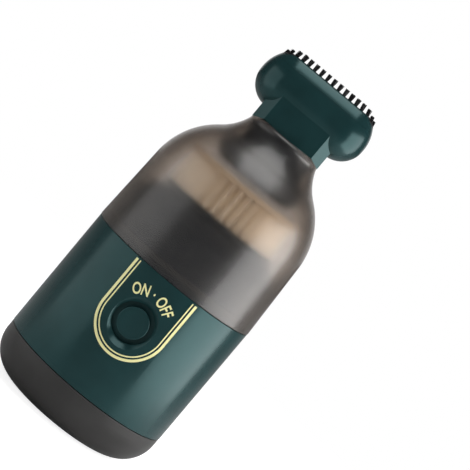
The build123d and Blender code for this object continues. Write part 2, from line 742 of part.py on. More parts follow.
def make_impeller():
    fan = disc(IMPELLER_R, IMPELLER_Z, IMPELLER_Z + IMPELLER_PLATE_T)
    fan += disc(HUB_R, IMPELLER_Z, BLADE_TOP_Z)
    points = []
    for share in (0, 0.5, 1):
        radius = BLADE_ROOT_R + share * (IMPELLER_R - BLADE_TIP_GAP - BLADE_ROOT_R)
        turn = radians(BLADE_TURN_DEG * share**1.5)
        points.append((radius * cos(turn), radius * sin(turn)))
    blade_line = trace(ThreePointArc(*points), line_width=BLADE_T)
    blade = extrude(Pos(0, 0, IMPELLER_Z + IMPELLER_PLATE_T / 2) * blade_line, BLADE_TOP_Z - IMPELLER_Z)
    blade &= disc(IMPELLER_R, IMPELLER_Z, BLADE_TOP_Z)
    fan += at_angles(blade, [360 / BLADES * k for k in range(BLADES)])
    return fan - disc(SHAFT_R + FIT, IMPELLER_Z - 1, BLADE_TOP_Z + 1)


def make_motor_can():
    can = disc(MOTOR_R, MOTOR_LOW_Z, FAN_PLATE_Z) - disc(MOTOR_R - CAN_T, 0, FAN_PLATE_Z - CAN_T)
    can += disc(NOSE_R, FAN_PLATE_Z - CAN_T, FAN_PLATE_Z + NOSE_L)
    can -= disc(BUSH_R + FIT, 0, FAN_PLATE_Z + NOSE_L + 1)
    for side in (-1, 1):
        can -= Pos(0, side * MOTOR_SCREW_PITCH, 0) * disc(MOTOR_SCREW_R + FIT, 0, FAN_PLATE_Z + 1)
    return can


def make_end_cap():
    cap = disc(MOTOR_R, END_CAP_LOW_Z, MOTOR_LOW_Z - FIT)
    cap += disc(NOSE_R, END_CAP_LOW_Z - END_NOSE_L, MOTOR_LOW_Z - FIT)
    cap -= disc(BUSH_R + FIT, 0, MOTOR_LOW_Z)
    half_x = TERMINAL_T / 2 + FIT
    half_y = TERMINAL_W / 2 + FIT
    for x in (-TERMINAL_X, TERMINAL_X):
        cap -= block(x - half_x, x + half_x, -half_y, half_y, 0, MOTOR_LOW_Z)
    return cap


def bush_levels():
    top = FAN_PLATE_Z + NOSE_L
    low = END_CAP_LOW_Z - END_NOSE_L
    return [(top - BUSH_L, top), (low, low + BUSH_L)]


def make_bushes():
    bore = SHAFT_R + SHAFT_RUN
    return Compound([ring(bore, BUSH_R, low, high) for low, high in bush_levels()])


def make_magnets():
    out_r = MAGNET_IN_R + MAGNET_T
    high = CORE_LOW_Z + CORE_L
    arcs = [sector(MAGNET_IN_R, out_r, CORE_LOW_Z, high, a, MAGNET_DEG) for a in (0, 180)]
    return Compound(arcs)


def make_armature():
    high = CORE_LOW_Z + CORE_L
    core = disc(POLE_CORE_R, CORE_LOW_Z, high)
    tooth = block(0, CORE_R - POLE_CAP_T / 2, -POLE_W / 2, POLE_W / 2, CORE_LOW_Z, high)
    tooth += sector(CORE_R - POLE_CAP_T, CORE_R, CORE_LOW_Z, high, 0, POLE_CAP_DEG)
    core += at_angles(tooth, [360 / POLES * k for k in range(POLES)])
    return core - disc(SHAFT_R + FIT, CORE_LOW_Z - 1, high + 1)


def make_commutator():
    high = COMMUTATOR_LOW_Z + COMMUTATOR_L
    return ring(SHAFT_R + FIT, COMMUTATOR_R, COMMUTATOR_LOW_Z, high)


def make_shaft():
    return disc(SHAFT_R, END_CAP_LOW_Z - END_NOSE_L + SHAFT_PROUD, BLADE_TOP_Z + SHAFT_PROUD)


def make_motor_brushes():
    """Carbon brushes that press on the commutator, and the terminals below the motor."""
    high = COMMUTATOR_LOW_Z + COMMUTATOR_L - SHAFT_PROUD
    pieces = []
    for side in (-1, 1):
        tip = COMMUTATOR_R + FIT
        x_low, x_high = sorted((side * tip, side * (TERMINAL_X + 1)))
        half = CARBON_W / 2
        piece = block(x_low, x_high, -half, half, MOTOR_LOW_Z, high)
        x = side * TERMINAL_X
        half_x = TERMINAL_T / 2
        half_y = TERMINAL_W / 2
        end = END_CAP_LOW_Z - TERMINAL_L
        piece += block(x - half_x, x + half_x, -half_y, half_y, end, MOTOR_LOW_Z + 0.5)
        pieces.append(piece)
    return Compound(pieces)


def make_motor_screws():
    one = screw(MOTOR_SCREW_R, MOTOR_SCREW_L, MOTOR_SCREW_HEAD_R, MOTOR_SCREW_HEAD_T)
    return Compound([Pos(0, s * MOTOR_SCREW_PITCH, FAN_PLATE_TOP_Z) * one for s in (-1, 1)])


def make_motor_cover():
    skirt_r = DRUM_IN_R - FIT
    skirt_low = LEDGE_TOP_Z + FIT
    c_r = COVER_SHOULDER_C_R
    c_z = COVER_SHOULDER_C_Z
    in_arc = COVER_SHOULDER_R - COVER_WALL
    cover = turned(
        Line((0, COVER_TOP_Z), (c_r, COVER_TOP_Z)),
        arc_about((c_r, c_z), COVER_SHOULDER_R, 90, 0),
        Polyline(
            (COVER_R, c_z), (COVER_R, CUP_SEAM_Z), (skirt_r, CUP_SEAM_Z),
            (skirt_r, skirt_low), (COVER_IN_R, skirt_low), (COVER_IN_R, c_z),
        ),
        arc_about((c_r, c_z), in_arc, 0, 90),
        Polyline((c_r, COVER_TOP_Z - COVER_WALL), (0, COVER_TOP_Z - COVER_WALL), (0, COVER_TOP_Z)),
    )
    boss = Pos(COVER_SCREW_RING_R, 0, 0)
    boss *= disc(COVER_BOSS_R, FAN_PLATE_TOP_Z + FIT, SHROUD_Z - SEAM)
    cover += at_angles(boss, cover_boss_angles())
    pilot = Pos(COVER_SCREW_RING_R, 0, 0) * disc(
        COVER_SCREW_SHANK_R + FIT, 0, FAN_PLATE_TOP_Z + COVER_SCREW_L
    )
    for cut in at_angles(pilot, cover_boss_angles()):
        cover -= cut
    cover -= disc(EYE_R, 0, COVER_TOP_Z + 1)
    grille_low = COVER_TOP_Z - GRILLE_T
    for share in GRILLE_SHARES:
        low_r = share * EYE_R - GRILLE_RING_W / 2
        cover += ring(low_r, low_r + GRILLE_RING_W, grille_low, COVER_TOP_Z)
    cover += disc(GRILLE_HUB_R, grille_low, COVER_TOP_Z)
    spoke = block(0, EYE_R + RUN, -SPOKE_W / 2, SPOKE_W / 2, grille_low, COVER_TOP_Z)
    cover += at_angles(spoke, [360 / SPOKES * k for k in range(SPOKES)])
    guide_top = COVER_TOP_Z + GUIDE_H
    cover += ring(GUIDE_R - GUIDE_T, GUIDE_R, COVER_TOP_Z - 0.5, guide_top)
    lug_low = FILTER_LOW_Z + FILTER_PLATE_T + RUN
    lug = sector(GUIDE_R - 0.5, GUIDE_R + LUG_T, lug_low, lug_low + LUG_H, 0, LUG_DEG)
    cover += at_angles(lug, LUG_ANGLES)
    cover -= ring(COVER_R - SEAL_DEPTH, COVER_R + 3, SEAL_Z, SEAL_Z + SEAL_H)
    gasket_low = COVER_TOP_Z - GASKET_SINK
    return cover - ring(GASKET_R - FIT, GASKET_R + GASKET_W + FIT, gasket_low, COVER_TOP_Z + 1)


def cup_inner_r(z):
    """Inner radius of the tapered part of the cup at a height."""
    start, angle = tapered_start(CUP_R - CUP_WALL, DOME_R - CUP_WALL)
    share = (z - CUP_LOW_Z) / (start[1] - CUP_LOW_Z)
    return (CUP_R - CUP_WALL) + share * (start[0] - (CUP_R - CUP_WALL))


def tapered_start(rim_r, dome_r):
    """Where the straight taper from the rim touches the dome's arc."""
    dx = rim_r - DOME_C_R
    dz = CUP_LOW_Z - DOME_C_Z
    angle = atan2(dz, dx) + acos(dome_r / hypot(dx, dz))
    point = (DOME_C_R + dome_r * cos(angle), DOME_C_Z + dome_r * sin(angle))
    return point, degrees(angle)


def cup_contour(rim_r, dome_r, flare_r, end_deg):
    """Edges from the rim up the taper, round the dome and up the flare."""
    start, start_deg = tapered_start(rim_r, dome_r)
    return [
        Line((rim_r, CUP_LOW_Z), start),
        arc_about((DOME_C_R, DOME_C_Z), dome_r, start_deg, DOME_END_DEG),
        arc_about((FLARE_C_R, FLARE_C_Z), flare_r, 180 + DOME_END_DEG, 180 + end_deg),
    ]


def make_dust_cup():
    in_flare = FLARE_R + CUP_WALL
    in_deg = degrees(acos((FLARE_C_R - COLLAR_BORE_R) / in_flare))
    in_top = FLARE_C_Z - in_flare * sin(radians(in_deg))
    lip_c = COLLAR_R - COLLAR_LIP_R
    bore_deg = degrees(acos((COLLAR_BORE_R - lip_c) / COLLAR_LIP_R))
    bore_z = FLARE_TOP_Z + COLLAR_LIP_R * sin(radians(bore_deg))
    outer = cup_contour(CUP_R, DOME_R, FLARE_R, FLARE_END_DEG)
    inner = cup_contour(CUP_R - CUP_WALL, DOME_R - CUP_WALL, in_flare, in_deg)
    rim = Line((CUP_R, CUP_LOW_Z), (CUP_R - CUP_WALL, CUP_LOW_Z))
    collar = [
        arc_about((lip_c, FLARE_TOP_Z), COLLAR_LIP_R, 0, bore_deg),
        Line((COLLAR_BORE_R, bore_z), (COLLAR_BORE_R, in_top)),
    ]
    return turned(*outer, *collar, *inner, rim)


def bell_wall(sleeve_r, bell_r, neck_r, shoulder_r):
    """Edges of one side of the bell's wall, from the sleeve down to the widest point."""
    rise = neck_r + shoulder_r
    bend = degrees(acos(1 - (bell_r - sleeve_r) / rise))
    neck_z = BELL_WIDE_Z + rise * sin(radians(bend))
    return neck_z, [
        arc_about((sleeve_r + neck_r, neck_z), neck_r, 180, 180 + bend),
        arc_about((bell_r - shoulder_r, BELL_WIDE_Z), shoulder_r, bend, 0),
    ]


def make_inlet_bell():
    """Sleeve in the collar that opens into a dark bell with a curled rim."""
    top = COLLAR_TOP_Z - SLEEVE_SINK
    rim_c = BELL_R - BELL_CURL_R
    inner_z = BELL_LOW_Z + BELL_T
    neck_z, outer = bell_wall(SLEEVE_OUT_R, BELL_R, BELL_NECK_R, BELL_SHOULDER_R)
    in_neck_z, inner = bell_wall(
        SLEEVE_IN_R, BELL_R - BELL_T, BELL_NECK_R + BELL_T, BELL_SHOULDER_R - BELL_T
    )
    return turned(
        Line((SLEEVE_OUT_R, top), (SLEEVE_OUT_R, neck_z)),
        *outer,
        arc_about((rim_c, BELL_WIDE_Z), BELL_CURL_R, 0, -90),
        Polyline(
            (rim_c, BELL_LOW_Z), (BELL_MOUTH_R, BELL_LOW_Z),
            (BELL_MOUTH_R, inner_z), (rim_c, inner_z),
        ),
        arc_about((rim_c, BELL_WIDE_Z), BELL_CURL_R - BELL_T, -90, 0),
        *inner,
        Polyline((SLEEVE_IN_R, in_neck_z), (SLEEVE_IN_R, top), (SLEEVE_OUT_R, top)),
    )


def head_section(inset):
    """Half section of the head as (depth, height) edges, inset by a wall."""
    half_d = HEAD_HALF_D - inset
    lobe = LOBE_R - inset
    shoulder = SHOULDER_R - inset
    shoulder_c = HEAD_HALF_D - SHOULDER_R
    lobe_c = HEAD_HALF_D - LOBE_R
    top = HEAD_TOP_Z if inset == 0 else HEAD_TOP_Z - inset / 2
    edge_z = top - TOP_EDGE_R
    rise = edge_z - SHOULDER_Z
    reach = sqrt((shoulder - TOP_EDGE_R) ** 2 - rise**2)
    edge_c = shoulder_c + reach
    meet_deg = degrees(atan2(rise, reach))
    return [
        Line((0, LOBE_Z - lobe), (lobe_c, LOBE_Z - lobe)),
        arc_about((lobe_c, LOBE_Z), lobe, -90, 0),
        Line((half_d, LOBE_Z), (half_d, SHOULDER_Z)),
        arc_about((shoulder_c, SHOULDER_Z), shoulder, 0, meet_deg),
        arc_about((edge_c, edge_z), TOP_EDGE_R, meet_deg, 90),
        Line((edge_c, top), (0, top)),
        Line((0, top), (0, LOBE_Z - lobe)),
    ]


def head_form(inset):
    """Long rounded head: the section turned at both ends and drawn straight between."""
    face = make_face(Curve() + head_section(inset))
    end = revolve(Plane.XZ * face, axis=Axis.Z)
    half = extrude(Pos(-HEAD_CORE, 0, 0) * (Plane.YZ * face), 2 * HEAD_CORE)
    other = Rot(0, 0, 180) * half
    return half + other + Pos(HEAD_CORE, 0, 0) * end + Pos(-HEAD_CORE, 0, 0) * end


def slot_face(core, radius):
    return SlotCenterToCenter(2 * core, 2 * radius)


def slot_prism(core, radius, z_low, z_high):
    return extrude(Pos(0, 0, z_low) * slot_face(core, radius), z_high - z_low)


def make_neck():
    """Eight-sided neck whose lower edge steps down at the sides, on a round spigot."""
    outline = Rectangle(2 * NECK_HALF_W, 2 * NECK_HALF_D)
    outline = chamfer(outline.vertices(), NECK_CHAMFER)
    prism = extrude(Pos(0, 0, COLLAR_TOP_Z - 5) * outline, LOBE_Z - COLLAR_TOP_Z + 5)
    flat = NECK_HALF_W - NECK_CHAMFER
    side_z = NECK_LOW_Z - NECK_SIDE_DROP * NECK_RUN_OUT
    reach = flat + NECK_CHAMFER * NECK_RUN_OUT
    roof = Polyline(
        (-reach, LOBE_Z), (-reach, side_z), (-flat, NECK_LOW_Z),
        (flat, NECK_LOW_Z), (reach, side_z), (reach, LOBE_Z), close=True,
    )
    keep = extrude(Pos(0, NECK_HALF_D + 1, 0) * (Plane.XZ * make_face(roof)), 2 * NECK_HALF_D + 2)
    neck = prism & keep
    collar = disc(COLLAR_R + SLIDE, COLLAR_TOP_Z - 8, NECK_LOW_Z)
    collar = fillet(collar.edges().group_by(Axis.Z)[-1], COLLAR_LIP_R)
    neck -= collar
    return neck + disc(SPIGOT_R, SPIGOT_LOW_Z, NECK_LOW_Z + 1)


def make_brush_head():
    head = head_form(0) + make_neck()
    head -= head_form(HEAD_WALL)
    head -= disc(NECK_BORE_R, SPIGOT_LOW_Z - 1, LOBE_Z)
    head -= slab(PLATE_Z - FIT, HEAD_TOP_Z + 1)
    groove_r = O_RING_MAJOR_R - O_RING_R - FIT
    half = O_RING_R + FIT
    return head - ring(groove_r, SPIGOT_R + 1, O_RING_Z - half, O_RING_Z + half)


def make_o_ring():
    return Pos(0, 0, O_RING_Z) * Torus(O_RING_MAJOR_R, O_RING_R)


def tuft_path_point(distance):
    """Point on the oval of tufts at a distance from its front middle, going right."""
    core, radius = TUFT_CORE, TUFT_RING_R
    if distance <= core:
        return (distance, -radius)
    angle = (distance - core) / radius
    return (core + radius * sin(angle), -radius * cos(angle))


def tuft_places():
    """Front, back, left and right tuft places, mirrored about both middles."""
    pitch = (4 * TUFT_CORE + 2 * pi * TUFT_RING_R) / TUFTS
    front, right = [], []
    for k in range(TUFTS // 4 + 1):
        x, y = tuft_path_point(k * pitch)
        if x <= TUFT_CORE:
            front += [(x, y)] if k == 0 else [(x, y), (-x, y)]
        else:
            right += [(x, y), (x, -y)]
    back = [(x, -y) for x, y in front]
    left = [(-x, y) for x, y in right]
    return front, back, left, right


def head_top_z(x, y):
    """Height of the head's outer surface over a point near its top."""
    d = hypot(max(abs(x) - HEAD_CORE, 0), y)
    shoulder_c = HEAD_HALF_D - SHOULDER_R
    edge_z = HEAD_TOP_Z - TOP_EDGE_R
    edge_c = shoulder_c + sqrt((SHOULDER_R - TOP_EDGE_R) ** 2 - (edge_z - SHOULDER_Z) ** 2)
    if d <= edge_c:
        return HEAD_TOP_Z
    on_edge = edge_z + sqrt(max(TOP_EDGE_R**2 - (d - edge_c) ** 2, 0))
    on_shoulder = SHOULDER_Z + sqrt(SHOULDER_R**2 - (d - shoulder_c) ** 2)
    return min(on_edge, on_shoulder) if d - edge_c < TOP_EDGE_R * 0.74 else on_shoulder


def strands(places):
    """Three-sided strands of every tuft, splayed a little and leaning to the middle."""
    made = []
    for x, y in places:
        lean = -tan(radians(TIP_LEAN_DEG)) * x * abs(x) / (TUFT_CORE + TUFT_RING_R) ** 2
        on_arc = max(abs(x) - TUFT_CORE, 0) / TUFT_RING_R
        tip_z = head_top_z(x, y) + TUFT_L + on_arc * (TUFT_END_L - TUFT_L)
        rings = [(STRAND_INNER, STRAND_INNER_R), (STRAND_OUTER, STRAND_OUTER_R)]
        for count, radius in rings:
            for k in range(count):
                angle = 2 * pi * k / count + radius
                ox, oy = radius * cos(angle), radius * sin(angle)
                way = Vector(lean + STRAND_SPLAY * ox, STRAND_SPLAY * oy, 1)
                base_z = head_top_z(x + ox, y + oy) - STRAND_ROOT
                length = tip_z - TIP_STEP * (k % 3) - base_z
                plane = Plane(origin=(x + ox, y + oy, base_z), z_dir=way)
                made.append(extrude(plane * RegularPolygon(STRAND_R, 3), length))
    return made


def backing_ring(width, z_low, z_high):
    outer = slot_prism(TUFT_CORE, TUFT_RING_R + width / 2, z_low, z_high)
    return outer - slot_prism(TUFT_CORE, TUFT_RING_R - width / 2, z_low, z_high)


def backing_parts(width, sink, form):
    """Front, back, left and right strips that hold the tufts."""
    bar_z = HEAD_TOP_Z - BACKING_T - sink
    arc_z = HEAD_TOP_Z - BACKING_ARC_T - sink
    gap = 0 if sink else FIT
    whole_bar = backing_ring(width, bar_z, HEAD_TOP_Z + 1) & form
    whole_arc = backing_ring(width, arc_z, HEAD_TOP_Z + 1) & form
    core = TUFT_CORE - gap
    low, high = arc_z - 1, HEAD_TOP_Z + 1
    front = whole_bar & block(-core, core, -BEYOND, 0, low, high)
    back = whole_bar & block(-core, core, 0, BEYOND, low, high)
    left = whole_arc & block(-BEYOND, -TUFT_CORE, -BEYOND, BEYOND, low, high)
    right = whole_arc & block(TUFT_CORE, BEYOND, -BEYOND, BEYOND, low, high)
    return front, back, left, right


def make_plate():
    """Top of the head with the suction mouth and the grooves for the bristle strips."""
    form = head_form(0)
    plate = form & slab(PLATE_Z, HEAD_TOP_Z + 1)
    inner = head_form(HEAD_WALL + SLIDE)
    plug = inner & slab(PLATE_Z - PLATE_PLUG, PLATE_Z + PLATE_PLUG / 3)
    plug -= slot_prism(
        HEAD_CORE + PLUG_SLOT_OVER, MOUTH_R + PLUG_SLOT_W, PLATE_Z - PLATE_PLUG, PLATE_Z
    )
    plate += plug
    plate -= slot_prism(TUFT_CORE, MOUTH_R, PLATE_Z - PLATE_PLUG - 1, HEAD_TOP_Z + 1)
    for cut in backing_parts(BACKING_W + 2 * FIT, FIT, slab(0, HEAD_TOP_Z + 1)):
        plate -= cut
    return plate


def make_bristles():
    form = head_form(0)
    parts = backing_parts(BACKING_W, 0, form)
    return [backing + strands(places) for backing, places in zip(parts, tuft_places())]


def make_seal():
    out_r = cup_inner_r(SEAL_Z) - SEAL_GAP
    low = SEAL_Z + FIT
    seal = ring(COVER_R - SEAL_DEPTH + FIT, out_r, low, SEAL_Z + SEAL_H - FIT)
    return seal


def make_gasket():
    top = FILTER_LOW_Z - SLIDE
    return ring(GASKET_R, GASKET_R + GASKET_W, COVER_TOP_Z - GASKET_SINK, top)


def make_filter_base():
    bore = GUIDE_R + RUN
    base = ring(bore, FILTER_R, FILTER_LOW_Z, FILTER_LOW_Z + FILTER_PLATE_T)
    notch_r = GUIDE_R + LUG_T + RUN
    notch_deg = LUG_DEG + LUG_SLACK_DEG
    notch_top = FILTER_LOW_Z + FILTER_PLATE_T + 1
    notch = sector(GUIDE_R, notch_r, FILTER_LOW_Z - 1, notch_top, 0, notch_deg)
    for cut in at_angles(notch, [angle - TWIST_DEG for angle in LUG_ANGLES]):
        base -= cut
    return base


def pleat_outline(out_r):
    points = []
    for k in range(2 * PLEATS):
        radius = out_r - (PLEAT_DEPTH if k % 2 else 0)
        angle = pi * k / PLEATS
        points.append((radius * cos(angle), radius * sin(angle)))
    return make_face(Polyline(*points, close=True))


def make_pleats():
    low = FILTER_LOW_Z + FILTER_PLATE_T
    band = pleat_outline(PLEAT_OUT_R) - pleat_outline(PLEAT_OUT_R - PLEAT_T)
    return extrude(Pos(0, 0, low) * band, FILTER_CAP_Z - low)


def make_filter_cap():
    cap = disc(FILTER_R, FILTER_CAP_Z, FILTER_TOP_Z)
    return fillet(cap.edges().group_by(Axis.Z)[-1], FILTER_EDGE)


def lead(points, bends):
    """Insulated lead along straight runs and tangent arcs."""
    path = FilletPolyline(*points, radius=bends)
    start = Plane(origin=path @ 0, z_dir=path % 0)
    tube = sweep(start * Circle(LEAD_R), path=path)
    share = tube.volume / (pi * LEAD_R**2 * path.length)
    print("lead", "length", round(path.length, 1), "bends", bends, "volume share", round(share, 4))
    return tube


def make_motor_leads():
    back = -BOARD_BACK_Y
    high = END_CAP_LOW_Z - TERMINAL_L
    low = high - MOTOR_LEAD_DROP
    made = []
    for side in (-1, 1):
        x = side * TERMINAL_X
        points = [(x, 0, high), (x, 0, low), (x, back, low)]
        made.append(lead(points, [MOTOR_LEAD_BEND]))
    return Compound(made)


def make_cell_leads():
    back = -BOARD_BACK_Y
    low = CELL_TOP_Z + TAB_T
    high = low + CELL_LEAD_RISE
    (x_out, y_out), (x_in, y_in) = CELL_LEAD_PLACES
    made = []
    for side in (-1, 1):
        x = side * CELL_X
        points = [(x, CELL_LEAD_Y, low), (x, CELL_LEAD_Y, high)]
        points += [(side * x_out, y_out, high - CELL_LEAD_DIP), (side * x_in, y_in, CELL_LEAD_Z)]
        points += [(side * x_in, back, CELL_LEAD_Z)]
        made.append(lead(points, CELL_LEAD_BENDS))
    return Compound(made)


def make_socket_leads():
    back = -BOARD_BACK_Y
    made = []
    z_back, z_front = SOCKET_LEAD_ZS
    y_back, y_front = SOCKET_LEAD_YS
    for side in (-1, 1):
        x = side * SOCKET_LEAD_X
        points = [(x, SIDE_BOARD_Y, z_back), (x, y_back, z_back)]
        points += [(x, y_front, z_front), (x, back, z_front)]
        made.append(lead(points, [SOCKET_LEAD_BEND, SOCKET_LEAD_BEND]))
    return Compound(made)


def build_all():
    made = {
        "base_cap": make_base_cap(),
        "foot_ring": make_foot_ring(),
        "base_screws": make_base_screws(),
        "drum_shell": make_drum(),
        "power_button": make_button(),
        "switch_plunger": make_plunger(),
        "switch_body": make_switch(),
        "board_screws": make_board_screws(),
        "side_board": make_side_board(),
        "light_pipe": make_light_pipe(),
        "exhaust_foam": make_foam(),
        "cell_cradle": make_cradle(),
        "cell_tabs": make_tabs(),
        "fan_housing": make_fan_housing(),
        "cover_screws": make_cover_screws(),
        "fan_shroud": make_shroud(),
        "impeller": make_impeller(),
        "motor_can": make_motor_can(),
        "motor_end_cap": make_end_cap(),
        "motor_bushes": make_bushes(),
        "motor_magnets": make_magnets(),
        "armature": make_armature(),
        "commutator": make_commutator(),
        "motor_shaft": make_shaft(),
        "motor_brushes": make_motor_brushes(),
        "motor_screws": make_motor_screws(),
        "motor_cover": make_motor_cover(),
        "cup_seal": make_seal(),
        "filter_gasket": make_gasket(),
        "filter_base": make_filter_base(),
        "filter_pleats": make_pleats(),
        "filter_cap": make_filter_cap(),
        "dust_cup": make_dust_cup(),
        "inlet_bell": make_inlet_bell(),
        "brush_head": make_brush_head(),
        "mouth_plate": make_plate(),
        "neck_o_ring": make_o_ring(),
        "motor_leads": make_motor_leads(),
        "cell_leads": make_cell_leads(),
        "socket_leads": make_socket_leads(),
    }
    made["trim_outer"], made["trim_inner"] = make_trims()
    made["control_board"], made["board_parts"] = make_board()
    made["charge_socket"], made["socket_pin"] = make_socket()
    made["cell_left"], made["cell_right"] = make_cells()
    bristle_nodes = ["bristles_front", "bristles_back", "bristles_left", "bristles_right"]
    made.update(zip(bristle_nodes, make_bristles()))
    return made


os.makedirs("parts", exist_ok=True)
for node, shape in build_all().items():
    export_step(shape, f"parts/{node}.step")
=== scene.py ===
from math import acos, atan2, cos, degrees, hypot, pi, radians, sin, tan
from random import Random

import bmesh
import bpy
from mathutils import Matrix, Vector


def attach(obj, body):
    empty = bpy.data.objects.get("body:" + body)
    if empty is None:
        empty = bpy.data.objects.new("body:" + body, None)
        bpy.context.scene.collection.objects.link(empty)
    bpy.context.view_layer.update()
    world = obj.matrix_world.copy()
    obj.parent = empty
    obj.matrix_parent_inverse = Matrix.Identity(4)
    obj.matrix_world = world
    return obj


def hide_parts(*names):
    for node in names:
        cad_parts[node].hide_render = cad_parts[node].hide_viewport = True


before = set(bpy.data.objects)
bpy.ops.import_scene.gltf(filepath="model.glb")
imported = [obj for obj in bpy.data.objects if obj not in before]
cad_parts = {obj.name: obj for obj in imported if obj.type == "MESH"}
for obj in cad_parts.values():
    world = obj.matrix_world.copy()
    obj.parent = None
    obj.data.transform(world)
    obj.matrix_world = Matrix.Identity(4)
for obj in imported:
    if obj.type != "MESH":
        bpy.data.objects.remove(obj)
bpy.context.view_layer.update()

MM = 0.001

# The part's form, in millimetres
DRUM_R = 33.0
BUTTON_Z = 45.0
CUP_R = 33.1
CUP_WALL = 1.6
CUP_LOW_Z = 63.55
CUP_LIP = 0.25
DOME_C_R = 3.85
DOME_C_Z = 91.4
DOME_R = 28.0
DOME_END_DEG = 52.0
FLARE_END_DEG = 20.0
COLLAR_R = 14.6
COLLAR_LIP_R = 2.2
COLLAR_BORE_R = 13.0
TURN_STEPS = 160
LIP_STEPS = 4
DOME_STEPS = 28
FLARE_STEPS = 16
COLLAR_LIP_STEPS = 8

TUFTS = 34
TUFT_CORE = 14.8
TUFT_RING_R = 5.0
TUFT_L = 2.55
TUFT_END_L = 1.3
TUFT_R = 0.56
TIP_LEAN_DEG = 16.0
STRAND_R = 0.085
STRANDS = 26
STRAND_SIDES = 5
STRAND_SPLAY = 0.16
STRAND_STRAY = 0.03
STRAND_SHORT = (0.02, 0.22)
STRAND_TIP = 0.8
STRAND_ROOT = 0.5
GOLDEN_ANGLE = 2.39996
HEAD_TOP_Z = 148.4
HEAD_CORE = 11.3
HEAD_HALF_D = 11.5
SHOULDER_R = 14.0
SHOULDER_Z = 138.4
TOP_EDGE_R = 2.5
BACKING_W = 1.7
BACKING_T = 1.4
BACKING_ARC_T = 3.2
BACKING_GAP = 0.05
BACKING_LANES = 4
BACKING_STEPS = 18

LETTERS = "ON · OFF"
LETTER_H = 3.9
LETTER_ARC_R = 12.0
LETTER_GAP = 0.42
LETTER_SQUEEZE = 0.70
LETTER_BOLD = 0.1
LETTER_PROUD = 0.06
SPACE_W = 0.22
CAP_HEIGHT = 0.7


# Materials
def new_finish(name):
    material = bpy.data.materials.new(name)
    material.use_nodes = True
    tree = material.node_tree
    tree.nodes.clear()
    out = tree.nodes.new("ShaderNodeOutputMaterial")
    shader = tree.nodes.new("ShaderNodeBsdfPrincipled")
    tree.links.new(shader.outputs["BSDF"], out.inputs["Surface"])
    return material, tree, shader


def noise(tree, scale, detail=3.0, stretch=None):
    """Noise on the piece's own coordinates; scale counts cells in a metre."""
    place = tree.nodes.new("ShaderNodeTexCoord")
    out = place.outputs["Object"]
    if stretch:
        mapping = tree.nodes.new("ShaderNodeMapping")
        mapping.inputs["Scale"].default_value = stretch
        tree.links.new(out, mapping.inputs["Vector"])
        out = mapping.outputs["Vector"]
    texture = tree.nodes.new("ShaderNodeTexNoise")
    texture.inputs["Scale"].default_value = scale
    texture.inputs["Detail"].default_value = detail
    tree.links.new(out, texture.inputs["Vector"])
    return texture.outputs["Fac"]


def spread(tree, fac, low, high, start=0.3, end=0.7):
    """Value that runs from low to high over the middle of a noise."""
    span = tree.nodes.new("ShaderNodeMapRange")
    span.inputs["From Min"].default_value = start
    span.inputs["From Max"].default_value = end
    span.inputs["To Min"].default_value = low
    span.inputs["To Max"].default_value = high
    tree.links.new(fac, span.inputs["Value"])
    return span.outputs["Result"]


def tint(tree, fac, dark, light):
    ramp = tree.nodes.new("ShaderNodeValToRGB")
    ramp.color_ramp.elements[0].position = 0.3
    ramp.color_ramp.elements[1].position = 0.7
    ramp.color_ramp.elements[0].color = (*dark, 1)
    ramp.color_ramp.elements[1].color = (*light, 1)
    tree.links.new(fac, ramp.inputs["Fac"])
    return ramp.outputs["Color"]


def grain(tree, shader, fac, strength, depth):
    bump = tree.nodes.new("ShaderNodeBump")
    bump.inputs["Strength"].default_value = strength
    bump.inputs["Distance"].default_value = depth
    tree.links.new(fac, bump.inputs["Height"])
    tree.links.new(bump.outputs["Normal"], shader.inputs["Normal"])


def finish_of(name, color, vary=0.12, rough=(0.35, 0.45), cloud=90, fine=5000, bump=0.12,
              depth=2e-5, metallic=0.0, stretch=None, sockets=()):
    """Moulded, painted, rolled or pressed finish: slow colour drift, fine roughness and grain."""
    material, tree, shader = new_finish(name)
    dark = tuple(c * (1 - vary) for c in color)
    light = tuple(min(1.0, c * (1 + vary)) for c in color)
    tree.links.new(tint(tree, noise(tree, cloud, 2, stretch), dark, light), shader.inputs["Base Color"])
    fac = noise(tree, fine, 3, stretch)
    tree.links.new(spread(tree, fac, *rough), shader.inputs["Roughness"])
    grain(tree, shader, fac, bump, depth)
    shader.inputs["Metallic"].default_value = metallic
    for socket, value in sockets:
        shader.inputs[socket].default_value = value
    return material


# Tint of the cup's wall, from where it is seen square to where it is seen at a slant
CUP_TINT = [
    (0.12, (0.65, 0.615, 0.585, 1)),
    (0.5, (0.40, 0.34, 0.295, 1)),
    (0.92, (0.11, 0.075, 0.052, 1)),
]


def smoky_clear():
    """Lightly frosted smoky plastic, darker and browner where the wall is seen at a slant."""
    material, tree, shader = new_finish("smoky_clear")
    slant = tree.nodes.new("ShaderNodeLayerWeight")
    slant.inputs["Blend"].default_value = 0.5
    cloud = spread(tree, noise(tree, 60, 2), -0.03, 0.03)
    total = tree.nodes.new("ShaderNodeMath")
    tree.links.new(slant.outputs["Facing"], total.inputs[0])
    tree.links.new(cloud, total.inputs[1])
    ramp = tree.nodes.new("ShaderNodeValToRGB")
    ramp.color_ramp.elements.new(0.5)
    for stop, (position, color) in zip(ramp.color_ramp.elements, CUP_TINT):
        stop.position = position
        stop.color = color
    tree.links.new(total.outputs["Value"], ramp.inputs["Fac"])
    tree.links.new(ramp.outputs["Color"], shader.inputs["Base Color"])
    tree.links.new(spread(tree, noise(tree, 90, 2), 0.255, 0.27), shader.inputs["Roughness"])
    shader.inputs["IOR"].default_value = 1.49
    shader.inputs["Specular IOR Level"].default_value = 0.3
    shader.inputs["Transmission Weight"].default_value = 1.0
    return material


